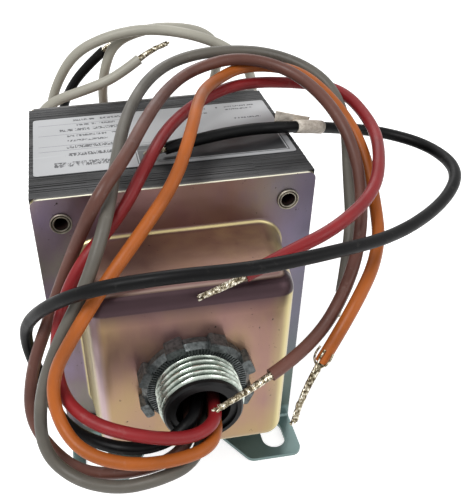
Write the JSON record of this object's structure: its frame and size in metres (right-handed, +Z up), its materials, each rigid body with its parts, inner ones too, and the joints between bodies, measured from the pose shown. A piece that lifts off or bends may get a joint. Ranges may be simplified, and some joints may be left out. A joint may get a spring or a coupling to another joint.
{
  "type": "control transformer",
  "caption": "Laminated-core control transformer with drawn steel end bells, slotted feet, a threaded hub with locknut at each end, and loose colour-coded leads.",
  "frame": {"origin": "on the mounting surface, under the middle of the core", "axes": "+Z up from the mounting surface, Y along both hubs with the front hub towards -Y, X across the core"},
  "size_m": [0.1269, 0.1598, 0.1091],
  "materials": {
    "core_steel": "dipped black varnish",
    "bell_steel": "zinc plated, yellow passivated",
    "hub_steel": "zinc plated",
    "locknut_zinc": "as cast",
    "bushing_plastic": "moulded",
    "rivet_steel": "zinc plated",
    "bobbin_plastic": "moulded",
    "copper_wire": "enamelled",
    "wrap_tape": "insulating wrap",
    "label_film": "silver film",
    "lead_red": "extruded insulation",
    "lead_black": "extruded insulation",
    "lead_orange": "extruded insulation",
    "lead_brown": "extruded insulation",
    "lead_grey": "extruded insulation",
    "lead_white": "extruded insulation",
    "tinned_strand": "tinned and twisted",
    "tape_paper": "creped"
  },
  "bodies": {
    "root": {"black_lead": "lead_black", "black_strands": "tinned_strand", "brown_lead": "lead_brown", "brown_strands": "tinned_strand", "coil_bobbin": "bobbin_plastic", "corner_rivets": "rivet_steel", "e_laminations": "core_steel", "front_bushing": "bushing_plastic", "front_end_bell": "bell_steel", "front_hub": "hub_steel", "front_locknut": "locknut_zinc", "grey_lead": "lead_grey", "grey_strands": "tinned_strand", "i_laminations": "core_steel", "orange_lead": "lead_orange", "orange_strands": "tinned_strand", "primary_winding": "copper_wire", "primary_wrap": "wrap_tape", "rating_label": "label_film", "rear_black_lead": "lead_black", "rear_black_strands": "tinned_strand", "rear_bushing": "bushing_plastic", "rear_end_bell": "bell_steel", "rear_hub": "hub_steel", "rear_locknut": "locknut_zinc", "rear_white_lead": "lead_white", "rear_white_strands": "tinned_strand", "red_lead": "lead_red", "red_strands": "tinned_strand", "secondary_winding": "copper_wire", "secondary_wrap": "wrap_tape", "tape_flag": "tape_paper"}
  },
  "joints": []
}
